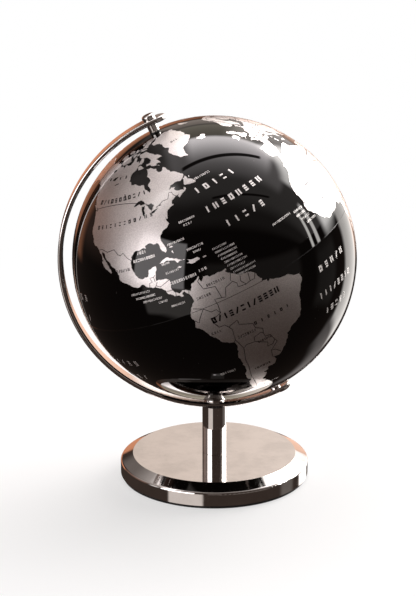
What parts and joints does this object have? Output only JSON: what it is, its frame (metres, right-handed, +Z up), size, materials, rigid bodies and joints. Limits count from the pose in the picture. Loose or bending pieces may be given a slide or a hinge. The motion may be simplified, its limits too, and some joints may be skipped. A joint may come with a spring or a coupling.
{
  "type": "desk globe",
  "caption": "Desk globe whose ball spins on a tilted axle in a C-shaped strip arm, on a short round post and a weighted round base.",
  "frame": {"origin": "middle of the underside of the base pad, on the post's axis", "axes": "+Z up along the post; the arm lies in the XZ plane and is open towards +X; the north pole leans towards -X; the seen front faces -Y"},
  "size_m": [0.21, 0.2, 0.2672],
  "materials": {
    "globe_gloss": "high gloss black with a clear coat and silver land areas",
    "polished_chrome": "mirror polished plating",
    "plain_steel": "plain turned or rolled steel",
    "nylon": "moulded black nylon",
    "cast_weight": "rough casting",
    "pad_felt": "black felt"
  },
  "bodies": {
    "stand": {"meridian_arm": "polished_chrome", "post_tube": "polished_chrome", "base_cover": "polished_chrome", "arm_screw": "polished_chrome", "saddle_washer": "polished_chrome", "north_cap_nut": "polished_chrome", "south_cap_nut": "polished_chrome", "north_spacer": "polished_chrome", "south_spacer": "polished_chrome", "axle_rod": "plain_steel", "post_upper_insert": "plain_steel", "post_lower_insert": "plain_steel", "base_plate": "plain_steel", "base_bolt": "plain_steel", "base_lock_washer": "plain_steel", "base_washer": "plain_steel", "north_thrust_washer": "nylon", "south_thrust_washer": "nylon", "base_weight": "cast_weight", "base_pad": "pad_felt"},
    "globe": {"northern_hemisphere": "globe_gloss", "southern_hemisphere": "globe_gloss", "north_bush": "nylon", "south_bush": "nylon"}
  },
  "joints": [
    {"name": "globe_spin", "type": "hinge", "parent": "stand", "child": "globe", "pos_m": [0, 0, 0.1624], "axis": [-0.4099, 0, 0.9121], "continuous": true}
  ]
}
